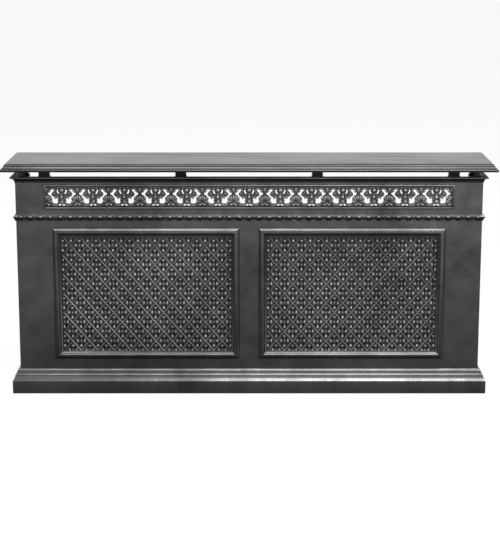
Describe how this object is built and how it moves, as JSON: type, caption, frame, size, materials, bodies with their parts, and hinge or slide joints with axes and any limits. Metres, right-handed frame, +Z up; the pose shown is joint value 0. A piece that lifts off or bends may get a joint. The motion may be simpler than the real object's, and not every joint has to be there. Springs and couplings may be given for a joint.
{
  "type": "radiator cover cabinet",
  "caption": "Cast-iron cabinet that stands over a radiator, with lattice grilles, an openwork frieze, a moulded plinth and a loose shelf on spacer blocks.",
  "frame": {"origin": "on the floor, at the middle of the overall box", "axes": "+X to the viewer's right along the cabinet, -Y towards the room, +Y to the wall, +Z up"},
  "size_m": [1.68, 0.26, 0.81],
  "materials": {
    "dark_cast_iron": "polished and blackened",
    "blackened_steel": "blackened",
    "black_gauze": "matt black"
  },
  "bodies": {
    "cabinet": {"bead_moulding_screws": "blackened_steel", "block_screws": "blackened_steel", "clip_screws": "blackened_steel", "corner_angle_screws": "blackened_steel", "cornice_screws": "blackened_steel", "frieze_frame": "dark_cast_iron", "frieze_grille": "dark_cast_iron", "frieze_screws": "blackened_steel", "front_bead_moulding": "dark_cast_iron", "front_cornice": "dark_cast_iron", "front_panel": "dark_cast_iron", "front_plinth": "dark_cast_iron", "front_spacer_blocks": "dark_cast_iron", "grille_clips": "blackened_steel", "grille_frame_screws": "blackened_steel", "left_bead_moulding": "dark_cast_iron", "left_corner_angle": "blackened_steel", "left_cornice": "dark_cast_iron", "left_grille_frame": "dark_cast_iron", "left_grille_gauze": "black_gauze", "left_lattice_grille": "dark_cast_iron", "left_plinth": "dark_cast_iron", "left_side_panel": "dark_cast_iron", "left_wall_brackets": "blackened_steel", "plinth_screws": "blackened_steel", "rear_spacer_blocks": "dark_cast_iron", "rear_tie_bar": "blackened_steel", "right_bead_moulding": "dark_cast_iron", "right_corner_angle": "blackened_steel", "right_cornice": "dark_cast_iron", "right_grille_frame": "dark_cast_iron", "right_grille_gauze": "black_gauze", "right_lattice_grille": "dark_cast_iron", "right_plinth": "dark_cast_iron", "right_side_panel": "dark_cast_iron", "right_wall_brackets": "blackened_steel", "tie_bar_screws": "blackened_steel", "wall_bracket_screws": "blackened_steel"},
    "shelf": {"top_shelf": "dark_cast_iron", "shelf_locating_pegs": "blackened_steel"}
  },
  "joints": [
    {"name": "shelf_lift", "type": "slide", "parent": "cabinet", "child": "shelf", "axis": [0, 0, 1], "range_m": [0, 0.06]}
  ]
}
